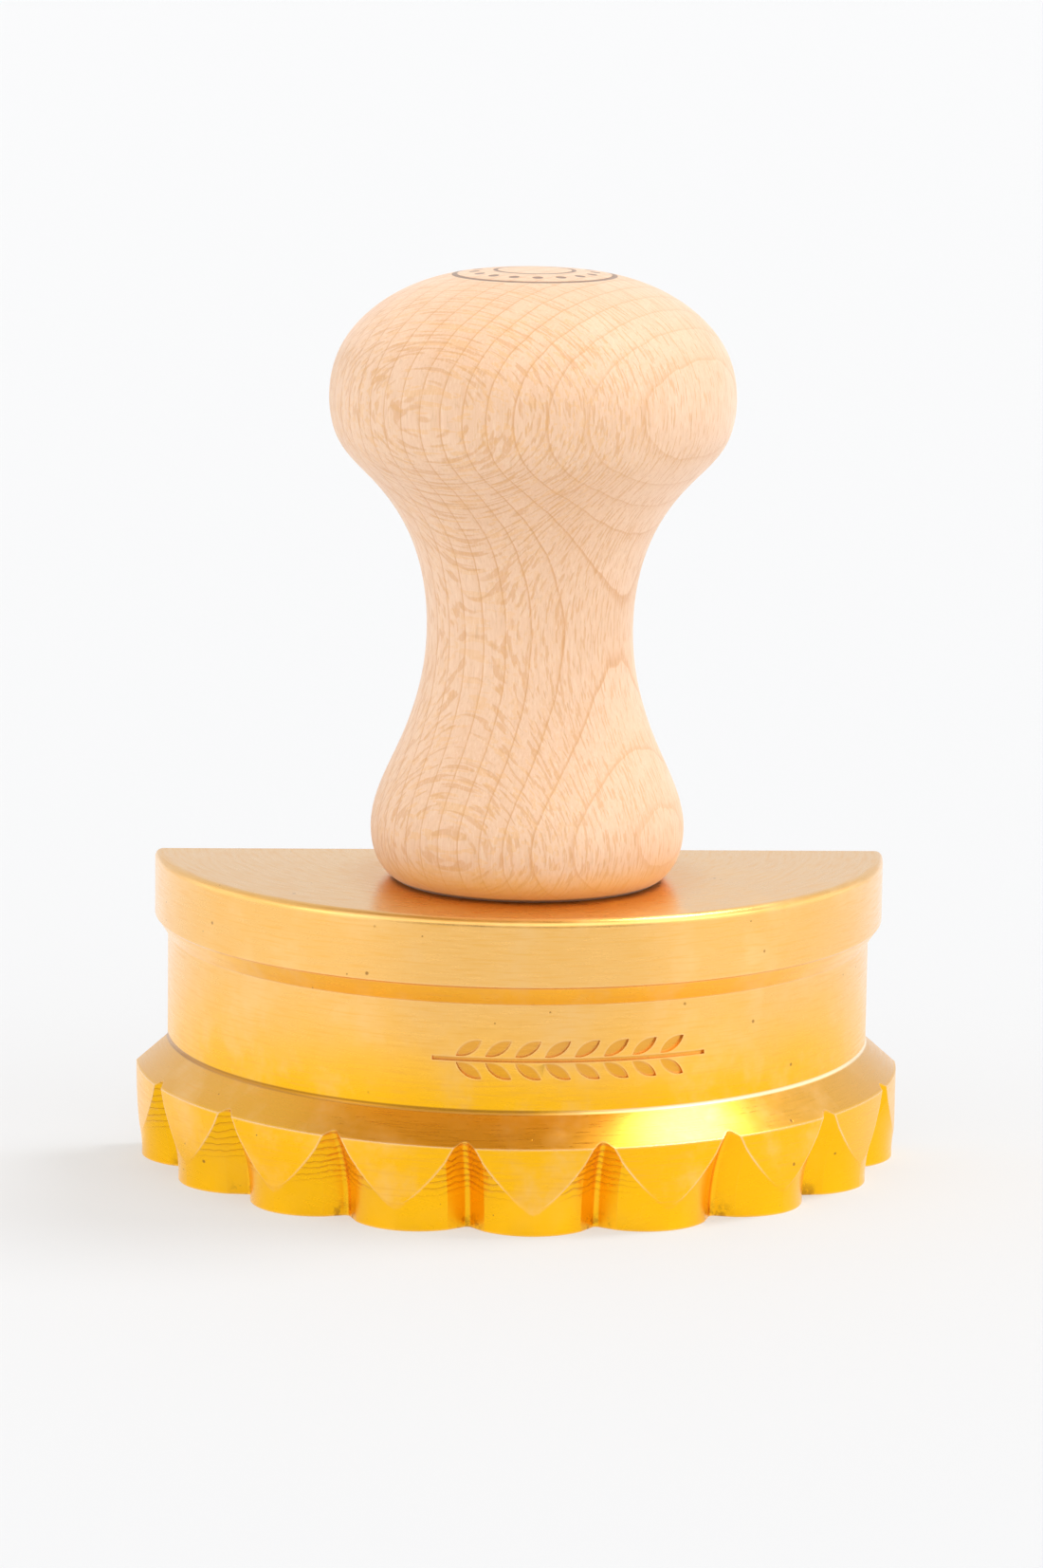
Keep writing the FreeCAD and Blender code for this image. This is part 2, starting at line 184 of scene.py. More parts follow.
class Graph:
    """A short way to write a shader node tree. Values may be numbers, colours or sockets."""

    def __init__(self, tree):
        self.tree = tree
        self.tree.nodes.clear()

    def node(self, kind, **settings):
        made = self.tree.nodes.new(kind)
        for name, value in settings.items():
            setattr(made, name, value)
        return made

    def put(self, socket, value):
        if value is None:
            return
        if isinstance(value, bpy.types.NodeSocket):
            self.tree.links.new(value, socket)
        elif hasattr(socket.default_value, "__len__") and not hasattr(value, "__len__"):
            socket.default_value = [value] * len(socket.default_value)
        elif hasattr(value, "__len__") and len(socket.default_value) == 4 and len(value) == 3:
            socket.default_value = (*value, 1.0)
        else:
            socket.default_value = value

    def math(self, operation, a, b=None):
        made = self.node("ShaderNodeMath", operation=operation)
        for socket, value in zip(made.inputs, (a, b)):
            self.put(socket, value)
        return made.outputs[0]

    def add(self, a, b):
        return self.math("ADD", a, b)

    def sub(self, a, b):
        return self.math("SUBTRACT", a, b)

    def mul(self, a, b):
        return self.math("MULTIPLY", a, b)

    def far(self, a, b):
        """Distance from the origin of the point (a, b)."""
        return self.math("SQRT", self.add(self.mul(a, a), self.mul(b, b)))

    def away(self, value, place):
        """How far a value is from a place, on either side."""
        return self.math("ABSOLUTE", self.sub(value, place))

    def vector_math(self, operation, a, b=None):
        made = self.node("ShaderNodeVectorMath", operation=operation)
        self.put(made.inputs[0], a)
        self.put(made.inputs[1], b)
        return made.outputs["Value"] if operation == "DOT_PRODUCT" else made.outputs[0]

    def position(self):
        return self.node("ShaderNodeTexCoord").outputs["Object"]

    def split(self, vector):
        made = self.node("ShaderNodeSeparateXYZ")
        self.put(made.inputs[0], vector)
        return made.outputs[0], made.outputs[1], made.outputs[2]

    def join(self, x, y, z):
        made = self.node("ShaderNodeCombineXYZ")
        for socket, value in zip(made.inputs, (x, y, z)):
            self.put(socket, value)
        return made.outputs[0]

    def noise(self, vector, scale=1.0, detail=2.0, roughness=0.5, distortion=0.0):
        made = self.node("ShaderNodeTexNoise")
        self.put(made.inputs["Vector"], vector)
        made.inputs["Scale"].default_value = scale
        made.inputs["Detail"].default_value = detail
        made.inputs["Roughness"].default_value = roughness
        made.inputs["Distortion"].default_value = distortion
        return made.outputs["Fac"]

    def cells(self, vector, scale):
        """Distance to the nearest cell's point, and a random value for that cell."""
        made = self.node("ShaderNodeTexVoronoi")
        self.put(made.inputs["Vector"], vector)
        made.inputs["Scale"].default_value = scale
        return made.outputs["Distance"], self.split(made.outputs["Color"])[0]

    def step(self, value, low, high):
        """Smooth change from 0 at low to 1 at high. Low may be above high."""
        made = self.node("ShaderNodeMapRange", interpolation_type="SMOOTHSTEP")
        self.put(made.inputs["Value"], value)
        turned = low > high
        self.put(made.inputs["From Min"], high if turned else low)
        self.put(made.inputs["From Max"], low if turned else high)
        made.inputs["To Min"].default_value = 1.0 if turned else 0.0
        made.inputs["To Max"].default_value = 0.0 if turned else 1.0
        return made.outputs[0]

    def spread(self, value, low, high, to_low, to_high):
        made = self.node("ShaderNodeMapRange")
        self.put(made.inputs["Value"], value)
        numbers = {"From Min": low, "From Max": high, "To Min": to_low, "To Max": to_high}
        for name, number in numbers.items():
            made.inputs[name].default_value = number
        return made.outputs[0]

    def mix(self, factor, a, b):
        made = self.node("ShaderNodeMix", data_type="RGBA")
        self.put(made.inputs["Factor"], factor)
        self.put(made.inputs[6], a)
        self.put(made.inputs[7], b)
        return made.outputs[2]

    def layer(self, colour, layers):
        """Lays colours over one another, each with a mask and a share."""
        for mask, share, over in layers:
            colour = self.mix(self.mul(mask, share), colour, over)
        return colour

    def bump(self, height, distance, strength=1.0, normal=None):
        made = self.node("ShaderNodeBump")
        made.inputs["Strength"].default_value = strength
        made.inputs["Distance"].default_value = distance
        self.put(made.inputs["Height"], height)
        self.put(made.inputs["Normal"], normal)
        return made.outputs[0]

    def surface(self, **values):
        shader = self.node("ShaderNodeBsdfPrincipled")
        for name, value in values.items():
            self.put(shader.inputs[name.replace("_", " ")], value)
        output = self.node("ShaderNodeOutputMaterial")
        self.tree.links.new(shader.outputs[0], output.inputs["Surface"])


def new_material(name):
    material = bpy.data.materials.new(name)
    material.use_nodes = True
    return material, Graph(material.node_tree)


def around(graph, centre_x, centre_y):
    """Angle, radius, height, x and forward distance about a vertical axis. Angle 0 faces -Y."""
    x, y, z = graph.split(graph.position())
    x = graph.sub(x, centre_x)
    y = graph.sub(centre_y, y)
    angle = graph.math("ARCTAN2", x, y)
    return angle, graph.far(x, y), z, x, y


def edge_mask(graph, radius):
    """1 along sharp edges and 0 on open faces, by how far a rounded normal leans from the true one."""
    rounded = graph.node("ShaderNodeBevel", samples=4)
    rounded.inputs["Radius"].default_value = radius
    true_normal = graph.node("ShaderNodeNewGeometry").outputs["Normal"]
    agreement = graph.vector_math("DOT_PRODUCT", rounded.outputs[0], true_normal)
    return graph.step(agreement, AGREES_ON_FACE, AGREES_ON_EDGE)


def pits(graph, position, spacing, size, share):
    """Small round pits, in some of the cells of a random lattice."""
    distance, pick = graph.cells(position, 1 / spacing)
    dot = graph.step(distance, size / spacing, 0.4 * size / spacing)
    return graph.mul(dot, graph.math("GREATER_THAN", pick, 1 - share))


def brass_zones(g):
    """Where the shaded point is on the brass body, and masks for the zones that look different."""
    at = SimpleNamespace()
    at.position = g.position()
    at.angle, at.radius, at.height, at.x, at.y = around(g, 0.0, ARC_Y)
    at.normal = g.node("ShaderNodeNewGeometry").outputs["Normal"]

    # The flat back, the outside and the hollow
    at.off_back = g.step(at.y, BACK_SETBACK + 0.02 * MM, BACK_SETBACK + 0.10 * MM)
    at.on_back = g.sub(1.0, at.off_back)
    past_wall = g.step(at.radius, FLANGE_R - HOLLOW_INSET, FLANGE_R - HOLLOW_INSET + HOLLOW_FADE)
    below_roof = g.step(at.height, HOLLOW_TOP + 0.2 * MM, HOLLOW_TOP + 0.1 * MM)
    at.outside = g.mul(past_wall, at.off_back)
    at.in_hollow = g.mul(g.sub(1.0, past_wall), g.mul(at.off_back, below_roof))
    at.facing_down = g.step(g.split(at.normal)[2], -0.6, -0.9)

    # The flange: flutes lie inside its turned surface, and tongues are what the cutter left of it
    above_flange = g.math("MAXIMUM", g.sub(at.height, FLANGE_TOP), 0.0)
    turned_radius = g.sub(FLANGE_R, g.mul(above_flange, CHAMFER_SLOPE))
    depth = g.sub(turned_radius, at.radius)
    below_flute_top = g.step(at.height, FLUTE_TOP, FLUTE_TOP - 0.4 * MM)
    at.in_flute = g.mul(g.mul(g.step(depth, 0.05 * MM, 0.12 * MM), below_flute_top), at.outside)
    below_flange_top = g.step(at.height, FLANGE_TOP + 0.3 * MM, FLANGE_TOP)
    at.on_tongue = g.mul(g.step(depth, 0.12 * MM, 0.05 * MM), below_flange_top)
    at.chamfer = g.mul(at.off_back, g.step(above_flange, 0.0, 0.3 * MM))
    at.chamfer = g.mul(at.chamfer, g.step(at.height, WAIST_BOTTOM, WAIST_BOTTOM - 0.3 * MM))

    # The slope under the rim, with painted bounce light; the engraving; and a painted reflection and shade
    # of the handle on the top plate round its foot
    above_slope = g.step(at.height, RIM_BOTTOM - 2.6 * MM, RIM_BOTTOM - 2.2 * MM)
    below_rim = g.step(at.height, RIM_BOTTOM + 0.1 * MM, RIM_BOTTOM - 0.2 * MM)
    at.overhang = g.mul(g.mul(above_slope, below_rim), at.off_back)
    at.sunk = g.mul(g.step(g.sub(WAIST_R, at.radius), 0.12 * MM, 0.30 * MM),
                    g.step(at.height, 16.5 * MM, 17.0 * MM))
    at.sunk = g.mul(g.mul(at.sunk, at.off_back), g.step(at.height, RIM_BOTTOM, 29.0 * MM))
    # Painted reflection and shade of the handle, in a ring round its foot
    from_handle = g.far(at.x, g.add(at.y, HANDLE_Y - ARC_Y))
    on_top = g.step(at.height, BODY_TOP - 0.3 * MM, BODY_TOP)
    at.round_foot = g.mul(g.step(from_handle, 27.0 * MM, 20.0 * MM), on_top)
    return at


def brass_wear(g, at):
    """Adds masks for what tools and use left on the brass: streaks, burrs, pits, cutter marks; also darker
    valleys between lobes, and a painted shade line and a painted highlight line where the waist meets the
    chamfer.
    """
    along = g.sub(at.height, g.mul(at.radius, 0.62))
    at.patches = g.noise(at.position, 55.0, 4.0, 0.6)
    at.blotches = g.noise(at.position, 120.0, 4.0, 0.62)
    at.streaks = g.noise(g.join(g.mul(at.angle, 9.0), g.mul(along, 2600.0), 0.0), 1.0, 3.0, 0.6)
    at.lines = g.noise(g.join(g.mul(at.angle, 5.0), g.mul(along, 6500.0), 0.0), 1.0, 2.0, 0.6)

    # Deeper colour towards the flange and paler towards the rim, with an uneven border: painted bounce
    # light, standing in for the stronger, more saturated light the lower body gets from the floor and the
    # brass
    drift = g.mul(g.sub(at.patches, 0.5), 14.0 * MM)
    at.upper = g.step(g.add(at.height, drift), WAIST_BOTTOM, RIM_BOTTOM)
    at.upper = g.math("MAXIMUM", at.upper, g.mul(at.on_back, 0.6))
    at.lower = g.step(g.add(at.height, g.mul(drift, 0.4)), WAIST_BOTTOM + 9.0 * MM, WAIST_BOTTOM)
    at.lower = g.mul(at.lower, g.sub(1.0, g.mul(at.on_back, 0.75)))

    at.burr = g.mul(edge_mask(g, 0.45 * MM), g.add(0.25, g.mul(at.on_tongue, 0.55)))
    large_pits = pits(g, at.position, 5.2 * MM, 0.34 * MM, 0.35)
    small_pits = pits(g, at.position, 2.4 * MM, 0.17 * MM, 0.22)
    at.speck = g.math("MAXIMUM", large_pits, small_pits)

    # Darker colour in the valleys between lobes; where the waist meets the chamfer, a painted shade line on
    # the left and a painted highlight line on the right
    valley = g.mul(g.step(at.radius, FLANGE_R - 2.4 * MM, FLANGE_R - 3.8 * MM),
                   g.mul(g.step(at.height, 2.6 * MM, 0.2 * MM), at.outside))
    valley = g.mul(valley, g.sub(1.0, at.facing_down))
    at.grime = g.mul(valley, g.step(g.noise(at.position, 900.0, 3.0, 0.6), 0.46, 0.62))
    from_waist_bottom = g.away(at.height, WAIST_BOTTOM)
    turn = g.add(at.angle, g.mul(g.sub(at.patches, 0.5), 0.8))
    # Painted shade: a dark line at the foot of the waist, strongest on the left
    at.seam = g.mul(g.step(from_waist_bottom, 0.42 * MM, 0.20 * MM),
                    g.step(g.sub(at.radius, WAIST_R), 0.55 * MM, 0.35 * MM))
    at.seam = g.mul(g.mul(at.seam, at.outside), g.step(turn, 0.35, -0.05))
    # Painted highlight: a bright line at the foot of the waist, on the right side only
    at.polished = g.mul(g.step(from_waist_bottom, 0.34 * MM, 0.12 * MM),
                        g.mul(at.outside, g.step(at.angle, 0.0, 0.4)))

    # Chatter: steps that rise to each side of a flute, on the side where the tool was worn
    tilt = g.mul(g.math("PINGPONG", g.mul(at.angle, FLUTES_PER_TURN / math.tau), 0.5), 2.2 * MM)
    wander = g.mul(g.noise(at.position, 160.0, 3.0, 0.6), 2.4 * MM)
    steps = g.math("FRACT", g.mul(g.add(g.sub(at.height, tilt), wander), 1 / CHATTER_STEP))
    uneven = g.mul(g.noise(g.join(g.mul(at.angle, 3.0), 0.0, 0.0)), 0.5)
    worn_tool = g.step(g.add(at.angle, uneven), 0.62, 0.34)
    run_out = g.mul(g.mul(at.in_flute, g.step(at.height, 4.2 * MM, 6.5 * MM)), worn_tool)
    at.chatter = g.mul(g.step(steps, 0.50, 0.95), run_out)
    at.chatter_line = g.mul(g.mul(g.step(steps, 0.80, 0.90), g.step(steps, 1.0, 0.94)), run_out)
    upright_place = g.join(g.mul(at.angle, 240.0), g.mul(at.height, 90.0), 0.0)
    at.upright = g.noise(upright_place, 1.0, 3.0, 0.6)

    # Saw marks: arcs about a point far to one side
    swirl = g.far(g.sub(at.x, SAW_CENTRE_X), g.sub(at.height, SAW_CENTRE_Z))
    at.saw_marks = g.noise(g.join(g.mul(swirl, 2300.0), g.mul(at.height, 25.0), 0.0), 1.0, 3.0, 0.6)


def turned_brass():
    material, g = new_material("turned_brass")
    at = brass_zones(g)
    brass_wear(g, at)

    # Painted bounce light: colour deepens from rim to flange
    colour = g.mix(at.upper, BRASS_WAIST, BRASS_RIM)
    layers = (
        (at.lower, 1.0, BRASS_FLANGE),
        (at.chamfer, 0.85, BRASS_CHAMFER),
        # Painted bounce light on the slope under the rim
        (at.overhang, 0.85, BRASS_OVERHANG),
        (g.step(at.blotches, 0.45, 0.78), 0.38, BRASS_BLOTCH),
        (g.step(at.streaks, 0.46, 0.72), 0.38, BRASS_STREAK),
        (at.in_flute, 0.85, BRASS_FLUTE),
        # Painted reflection and shade of the handle round its foot
        (at.round_foot, 0.7, BRASS_PAINTED_REFLECTION),
        (at.sunk, 0.6, BRASS_SUNK),
        (at.burr, 1.0, BRASS_BURR),
        (at.speck, 0.75, BRASS_PIT),
        (at.grime, 0.6, BRASS_DARK_VALLEY),
        # Painted shade line at the foot of the waist
        (at.seam, 0.75, BRASS_PAINTED_SHADE),
        # Painted highlight line at the foot of the waist
        (at.polished, 0.8, BRASS_PAINTED_HIGHLIGHT),
        (at.in_hollow, 0.75, BRASS_HOLLOW),
        (at.chatter_line, 0.55, BRASS_CHATTER),
        (g.mul(at.on_back, g.step(at.saw_marks, 0.45, 0.7)), 0.30, BRASS_SAWN),
    )
    colour = g.layer(colour, layers)

    normal = g.bump(g.mul(at.lines, at.off_back), 0.005 * MM, 0.5)
    normal = g.bump(g.mul(at.saw_marks, at.on_back), 0.012 * MM, 0.6, normal)
    normal = g.bump(g.mul(at.upright, at.in_flute), 0.010 * MM, 0.6, normal)
    normal = g.bump(at.chatter, 0.10 * MM, 1.0, normal)
    normal = g.bump(g.noise(at.position, 120.0, 2.0, 0.45), 0.03 * MM, 0.3, normal)
    normal = g.bump(g.mul(at.speck, -1.0), 0.03 * MM, 0.8, normal)

    roughness = g.spread(at.streaks, 0.3, 0.75, 0.24, 0.38)
    roughness = g.add(roughness, g.mul(g.step(at.blotches, 0.45, 0.75), 0.08))
    roughness = g.add(roughness, g.mul(at.burr, 0.12))
    roughness = g.add(roughness, g.mul(at.in_hollow, 0.10))

    # The turning lines run round the body, so highlights stretch along its meridians
    round_the_axis = g.vector_math("NORMALIZE", g.join(at.y, at.x, 0.0))
    tangent = g.vector_math("CROSS_PRODUCT", at.normal, round_the_axis)
    coat = g.add(0.18, g.mul(g.math("MAXIMUM", at.chamfer, at.upper), 0.40))
    g.surface(Base_Color=colour, Metallic=1.0, Roughness=roughness, Normal=normal, Tangent=tangent,
              Anisotropic=0.45, Coat_Weight=coat, Coat_Roughness=0.22)
    return material


def beech():
    material, g = new_material("beech")
    position = g.position()
    x, y, z = g.split(position)
    x = g.sub(x, HANDLE_X)
    y = g.sub(y, HANDLE_Y)
    across = (math.sin(RING_TURN), -math.cos(RING_TURN))
    outward = g.add(g.mul(x, across[0]), g.mul(y, across[1]))
    sideways = g.sub(g.mul(x, across[1]), g.mul(y, across[0]))

    def grain(out_scale, side_scale, z_scale, *settings):
        """Noise stretched by three scales: outwards from the tree's heart, sideways, and upwards."""
        place = g.join(g.mul(outward, out_scale), g.mul(sideways, side_scale), g.mul(z, z_scale))
        return g.noise(place, 1.0, *settings)

    def thread(scale, z_scale, *settings):
        """Noise stretched along the handle."""
        place = g.join(g.mul(x, scale), g.mul(y, scale), g.mul(z, z_scale))
        return g.noise(place, 1.0, *settings)

    # Growth rings: near-flat layers across one diagonal, gently bent and unevenly spaced
    bend = grain(16.0, 12.0, 9.0, 2.0, 0.5)
    ripple = grain(60.0, 260.0, 70.0, 2.0, 0.55)
    curve = g.mul(g.mul(sideways, sideways), 9.0)
    layer = g.add(g.add(outward, curve), g.mul(g.sub(bend, 0.5), 9.0 * MM))
    layer = g.add(layer, g.mul(g.sub(ripple, 0.5), 0.55 * MM))
    ring = g.math("FRACT", g.mul(layer, 1 / RING_SPACING))
    late_wood = g.math("POWER", ring, 5.0)
    ring_line = g.mul(g.step(ring, 0.90, 0.97), g.step(ring, 1.0, 0.985))
    ring_line = g.mul(ring_line, g.spread(outward, 12.0 * MM, 20.0 * MM, 1.0, 0.35))

    # Rays: thin upright sheets that run outwards, seen as dashes, or as broad flecks where cut flat
    dashes = g.step(grain(150.0, 3400.0, 430.0, 1.0, 0.5, 0.1), 0.54, 0.62)
    flecks = g.step(grain(190.0, 2500.0, 1000.0, 2.0, 0.5, 0.25), 0.52, 0.61)
    facing = g.math("ABSOLUTE", g.mul(sideways, 1 / (20.0 * MM)))
    flat_cut = g.step(facing, 0.35, 0.95)

    # Fibre and pores
    fibre = thread(3600.0, 420.0, 3.0, 0.65)
    streak = thread(900.0, 60.0, 3.0, 0.55)
    tone = thread(50.0, 25.0, 3.0, 0.5)

    # Painted bounce light: a warm glow from the brass where the wood meets it; and a painted contact
    # shadow, a dark line along the wood's foot
    foot = g.step(g.add(z, g.mul(g.sub(tone, 0.5), 4.0 * MM)), BODY_TOP + 5.5 * MM, BODY_TOP + 0.5 * MM)
    contact_shadow = g.step(z, BODY_TOP + 0.65 * MM, BODY_TOP + 0.25 * MM)

    # A plain burnt border and a ring of beads on the crown
    from_axis = g.far(x, y)
    on_crown = g.step(z, HANDLE_TOP - 3.0 * MM, HANDLE_TOP - 2.6 * MM)
    border = g.step(g.away(from_axis, BORDER_R), 0.42 * MM, 0.26 * MM)
    inner = g.step(g.away(from_axis, INNER_R), 0.36 * MM, 0.20 * MM)
    turn = g.math("ARCTAN2", x, y)
    bead_place = g.math("PINGPONG", g.mul(turn, BEAD_COUNT / math.tau), 0.5)
    bead_x = g.mul(bead_place, math.tau / BEAD_COUNT * BEADS_R)
    bead_far = g.far(bead_x, g.away(from_axis, BEADS_R))
    beads = g.step(bead_far, 0.80 * MM, 0.60 * MM)
    burnt = g.mul(g.math("MAXIMUM", g.math("MAXIMUM", border, inner), beads), on_crown)

    colour = g.mix(g.step(tone, 0.35, 0.65), BEECH_WARM, BEECH_PALE)
    layers = (
        (g.step(streak, 0.45, 0.75), 0.30, BEECH_STREAK),
        (late_wood, 0.35, BEECH_LATE_WOOD),
        (ring_line, 0.62, BEECH_RING),
        (flecks, g.add(0.08, g.mul(flat_cut, 0.30)), BEECH_FLECK),
        (dashes, 0.46, BEECH_DASH),
        (g.step(fibre, 0.50, 0.70), 0.30, BEECH_FIBRE),
        (g.step(fibre, 0.46, 0.30), 0.30, BEECH_PORE),
        # Painted bounce light from the brass
        (foot, 0.75, BEECH_PAINTED_GLOW),
        # Painted contact shadow
        (contact_shadow, 0.85, BEECH_PAINTED_SHADOW),
        (burnt, 0.88, BURNT),
    )
    colour = g.layer(colour, layers)

    relief = g.add(g.mul(fibre, 0.6), g.mul(streak, 0.4))
    normal = g.bump(relief, 0.035 * MM, 0.7)
    normal = g.bump(g.mul(dashes, -1.0), 0.03 * MM, 0.6, normal)
    normal = g.bump(g.mul(burnt, -1.0), 0.12 * MM, 0.9, normal)
    roughness = g.add(g.spread(fibre, 0.3, 0.7, 0.52, 0.62), g.mul(dashes, 0.05))
    g.surface(Base_Color=colour, Roughness=roughness, Normal=normal,
              Sheen_Weight=0.35, Sheen_Roughness=0.45, Subsurface_Weight=0.08,
              Subsurface_Scale=1.2 * MM, Subsurface_Radius=(1.0, 0.5, 0.25))
    return material


def machined_metal(name, light, dark, rough_low, rough_high, line_spacing):
    """Metal turned about the handle's axis: fine rings, uneven tone, and bright worn edges."""
    material, g = new_material(name)
    angle, radius, height = around(g, HANDLE_X, HANDLE_Y)[:3]
    along = g.add(height, g.mul(radius, 1.37))
    rings = g.noise(g.join(g.mul(angle, 3.0), g.mul(along, 1 / line_spacing), 0.0), 1.0, 3.0, 0.6)
    tone = g.noise(g.position(), 300.0, 4.0, 0.6)
    worn = [min(1.0, 1.15 * part + 0.05) for part in light]
    colour = g.mix(g.step(tone, 0.35, 0.65), dark, light)
    colour = g.mix(g.mul(edge_mask(g, 0.25 * MM), 0.4), colour, worn)
    normal = g.bump(rings, 0.008 * MM, 0.7)
    roughness = g.spread(rings, 0.3, 0.7, rough_low, rough_high)
    g.surface(Base_Color=colour, Metallic=1.0, Roughness=roughness, Normal=normal)
    return material


def plate_brass():
    """Milled brass: overlapping tool arcs on the flats, brighter along the edges."""
    material, g = new_material("plate_brass")
    position = g.position()
    x, y, z = g.split(position)
    sweep = g.far(g.sub(x, ARC_CENTRE_X), y)
    arcs = g.noise(g.join(g.mul(sweep, 2600.0), g.mul(y, 12.0), g.mul(z, 700.0)), 1.0, 2.0, 0.5)
    tone = g.noise(position, 140.0, 4.0, 0.6)
    speck = pits(g, position, 3.4 * MM, 0.2 * MM, 0.3)
    colour = g.mix(g.step(tone, 0.35, 0.65), PLATE_DEEP, PLATE_PALE)
    layers = (
        (g.step(arcs, 0.45, 0.7), 0.4, PLATE_ARC),
        (edge_mask(g, 0.3 * MM), 0.35, PLATE_EDGE),
        (speck, 0.7, PLATE_PIT),
    )
    colour = g.layer(colour, layers)
    normal = g.bump(arcs, 0.010 * MM, 0.8)
    normal = g.bump(g.mul(speck, -1.0), 0.06 * MM, 1.0, normal)
    roughness = g.add(g.spread(arcs, 0.3, 0.7, 0.24, 0.36), g.mul(g.step(tone, 0.4, 0.7), 0.08))
    g.surface(Base_Color=colour, Metallic=1.0, Roughness=roughness, Normal=normal)
    return material


def give(node, material):
    target = nodes[node]
    target.data.materials.clear()
    target.data.materials.append(material)


def wound_spring(material):
    """Compression spring from round wire, with one closed turn at each end, ground flat."""
    wire_r = 0.6 * MM
    mean_r = (spring_high.x - spring_low.x) / 2 - wire_r
    centre_x = (spring_low.x + spring_high.x) / 2
    centre_y = (spring_low.y + spring_high.y) / 2
    seat_gap = 0.03 * MM
    bottom = spring_low.z + seat_gap
    top = spring_high.z
    open_turns = 5.0
    turns = open_turns + 2
    end_rise = 2 * wire_r
    open_height = top - bottom - 2 * end_rise
    steps_per_turn = 64
    sides = 16

    def height_at(turn):
        if turn < 1:
            return bottom + end_rise * turn
        if turn > turns - 1:
            return top - end_rise * (turns - turn)
        return bottom + end_rise + open_height * (turn - 1) / open_turns

    vertices = []
    count = int(turns * steps_per_turn) + 1
    for step in range(count):
        turn = step / steps_per_turn
        angle = math.tau * turn
        centre_z = height_at(turn)
        for side in range(sides):
            lean = math.tau * side / sides
            out = mean_r + wire_r * math.cos(lean)
            z = centre_z + wire_r * math.sin(lean)
            z = min(max(z, bottom), top)
            x = centre_x + out * math.cos(angle)
            y = centre_y + out * math.sin(angle)
            vertices.append((x, y, z))
    faces = []
    for step in range(count - 1):
        for side in range(sides):
            here = step * sides + side
            beside = step * sides + (side + 1) % sides
            faces.append((here, beside, beside + sides, here + sides))
    faces.append(tuple(reversed(range(sides))))
    faces.append(tuple(range((count - 1) * sides, count * sides)))
    mesh = bpy.data.meshes.new("spring_coil")
    mesh.from_pydata(vertices, [], faces)
    for polygon in mesh.polygons:
        polygon.use_smooth = True
    mesh.materials.append(material)
    coil = bpy.data.objects.new("spring_coil", mesh)
    bpy.context.scene.collection.objects.link(coil)
    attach(coil, "stamp")
    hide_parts("return_spring")
    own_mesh(coil)
    return coil


def make_camera():
    data = bpy.data.cameras.new("camera")
    data.sensor_width = 36.0
    data.lens = CAMERA_LENS
    data.dof.use_dof = False
    camera = bpy.data.objects.new("camera", data)
    bpy.context.scene.collection.objects.link(camera)
    back = Vector((math.sin(CAMERA_AZIMUTH) * math.cos(CAMERA_ELEVATION),
                   -math.cos(CAMERA_AZIMUTH) * math.cos(CAMERA_ELEVATION),
                   math.sin(CAMERA_ELEVATION)))
    camera.location = CAMERA_TARGET + back * CAMERA_DISTANCE
    camera.rotation_mode = "QUATERNION"
    level = (-back).to_track_quat("-Z", "Y")
    camera.rotation_quaternion = level @ Quaternion((0, 0, 1), CAMERA_ROLL)
    data.clip_start = 0.01
    data.clip_end = 50.0
    bpy.context.scene.camera = camera


def see_through_from_below(g):
    """Hides the floor's underside, so that the part can be looked at from below."""
    output = next(node for node in g.tree.nodes if node.type == "OUTPUT_MATERIAL")
    shader = next(node for node in g.tree.nodes if node.type == "BSDF_PRINCIPLED")
    blend = g.node("ShaderNodeMixShader")
    clear = g.node("ShaderNodeBsdfTransparent")
    g.tree.links.new(g.node("ShaderNodeNewGeometry").outputs["Backfacing"], blend.inputs["Fac"])
    g.tree.links.new(shader.outputs[0], blend.inputs[1])
    g.tree.links.new(clear.outputs[0], blend.inputs[2])
    g.tree.links.new(blend.outputs[0], output.inputs["Surface"])


def make_floor():
    """White table that glows a little, as an overexposed one does, and more to the part than the camera."""
    mesh = bpy.data.meshes.new("floor")
    corners = [(x * FLOOR_HALF, y * FLOOR_HALF, 0) for x, y in ((-1, -1), (1, -1), (1, 1), (-1, 1))]
    mesh.from_pydata(corners, [], [(0, 1, 2, 3)])
    material, g = new_material("floor_white")
    seen = g.node("ShaderNodeLightPath").outputs["Is Camera Ray"]
    glow = g.sub(GLOW_TO_PART, g.mul(seen, GLOW_LESS_TO_CAMERA))
    g.surface(Base_Color=FLOOR_COLOUR, Roughness=0.85, Emission_Color=(1.0, 1.0, 1.0),
              Emission_Strength=glow)
    see_through_from_below(g)
    mesh.materials.append(material)
    floor = bpy.data.objects.new("floor", mesh)
    floor.location.z = -FLOOR_DROP
    bpy.context.scene.collection.objects.link(floor)


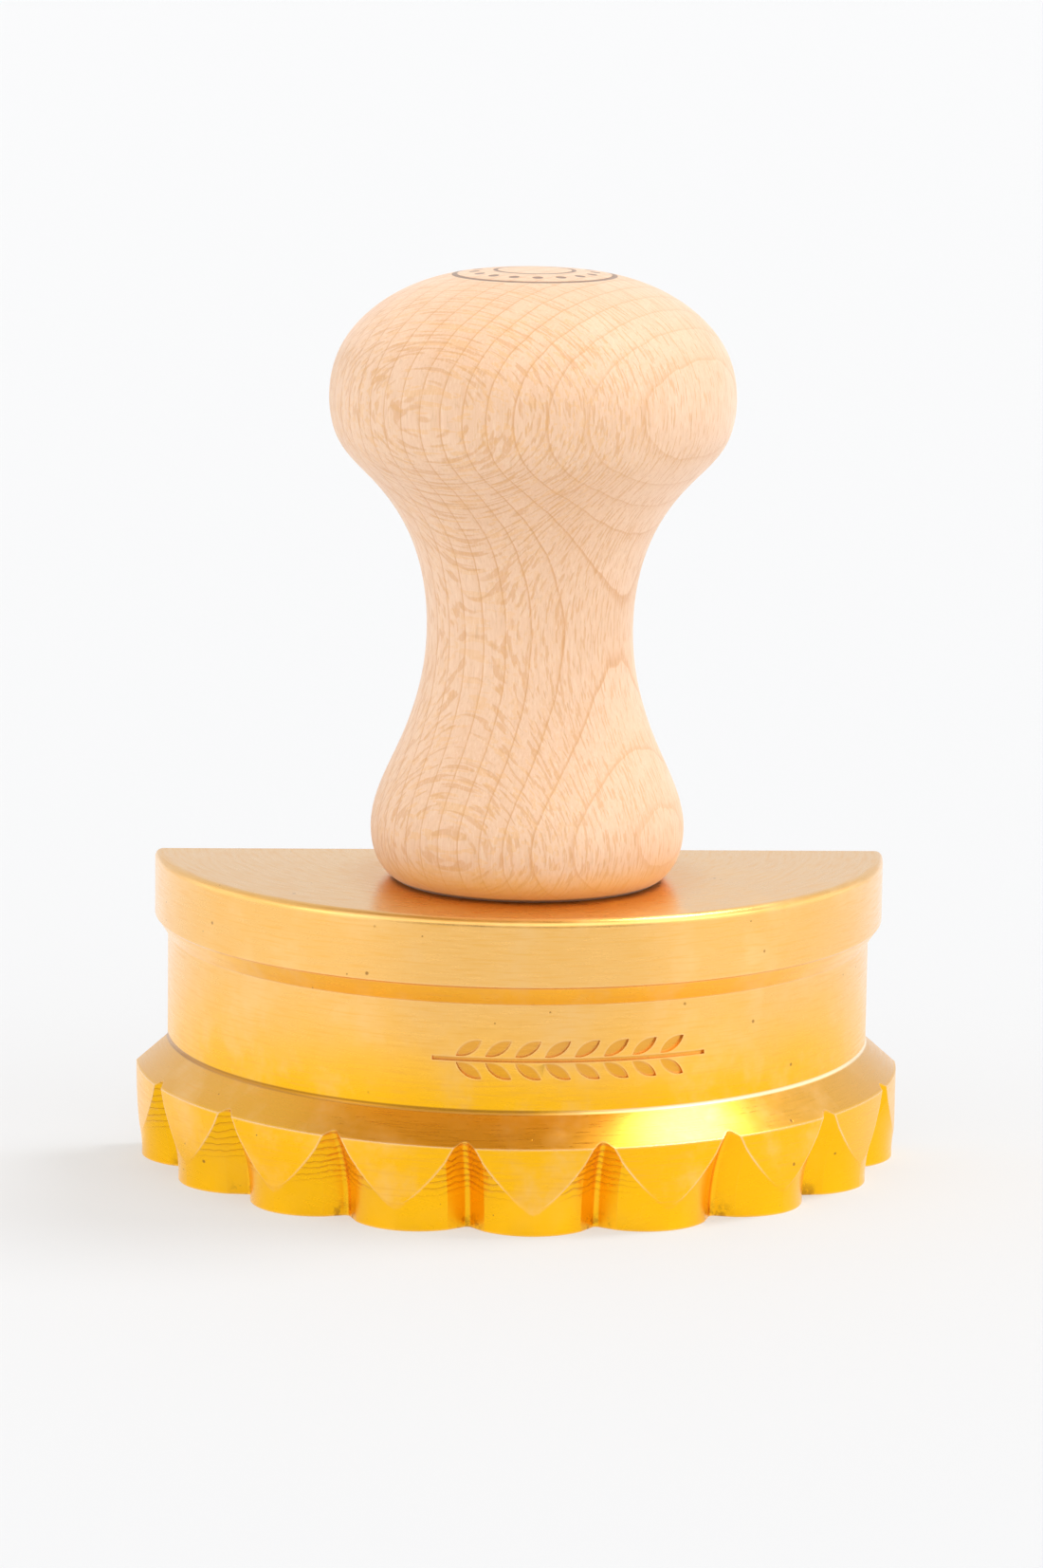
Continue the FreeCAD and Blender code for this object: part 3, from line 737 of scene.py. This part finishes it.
def make_light():
    """A broad key lamp above on the right, and a room: pale wall, dark camera side, warm dim ceiling."""
    data = bpy.data.lights.new("key", "SUN")
    data.energy = KEY_ENERGY
    data.angle = KEY_ANGLE
    key = bpy.data.objects.new("key", data)
    key.rotation_mode = "QUATERNION"
    key.rotation_quaternion = KEY_AIM.to_track_quat("-Z", "Y")
    bpy.context.scene.collection.objects.link(key)

    world = bpy.data.worlds.new("studio")
    bpy.context.scene.world = world
    world.use_nodes = True
    g = Graph(world.node_tree)
    direction = g.node("ShaderNodeTexCoord").outputs["Generated"]
    x, y, z = g.split(direction)
    wall = g.step(y, -0.30, 0.10)
    side = g.step(g.math("ABSOLUTE", x), 0.50, 0.85)
    side = g.mul(side, g.step(z, 0.72, 0.50))
    walls = g.math("MAXIMUM", g.mul(wall, WALL_LEVEL), g.mul(side, SIDE_LEVEL))
    level = g.add(ROOM_LEVEL, walls)
    front_panel = g.mul(g.step(z, 0.26, 0.36), g.step(y, -0.10, -0.28))
    panel_level = g.spread(x, -0.35, 0.25, PANEL_LEFT, PANEL_RIGHT)
    level = g.add(level, g.mul(front_panel, panel_level))
    ceiling = g.step(z, 0.80, 0.90)
    colour = g.mix(ceiling, g.join(level, level, level), CEILING_COLOUR)
    seen = g.node("ShaderNodeLightPath").outputs["Is Camera Ray"]
    colour = g.mix(seen, colour, BACKDROP_COLOUR)
    background = g.node("ShaderNodeBackground")
    g.put(background.inputs["Color"], colour)
    output = g.node("ShaderNodeOutputWorld")
    g.tree.links.new(background.outputs[0], output.inputs["Surface"])


def make_finishes():
    # Name, light and dark tone, lowest and highest roughness, spacing of the turning lines
    steel = machined_metal("zinc_steel", (0.66, 0.66, 0.64), (0.50, 0.50, 0.50), 0.22, 0.34, 0.2 * MM)
    rod = machined_metal("stainless_rod", (0.70, 0.70, 0.69), (0.58, 0.58, 0.58), 0.16, 0.26, 0.1 * MM)
    bush = machined_metal("bronze_bush", (0.72, 0.46, 0.22), (0.58, 0.33, 0.14), 0.26, 0.38, 0.2 * MM)
    wire = machined_metal("spring_steel", (0.55, 0.55, 0.56), (0.40, 0.40, 0.42), 0.24, 0.36, 0.5 * MM)
    finishes = {
        "die_body": turned_brass(),
        "beech_handle": beech(),
        "ejector_plate": plate_brass(),
        "handle_screws": steel,
        "stop_washer": steel,
        "stem_lock_nut": steel,
        "ejector_stem": rod,
        "guide_bush": bush,
        "return_spring": wire,
    }
    for node, material in finishes.items():
        give(node, material)
    wound_spring(wire)


bpy.context.scene.view_settings.view_transform = "Standard"
make_camera()
make_floor()
make_light()
make_finishes()
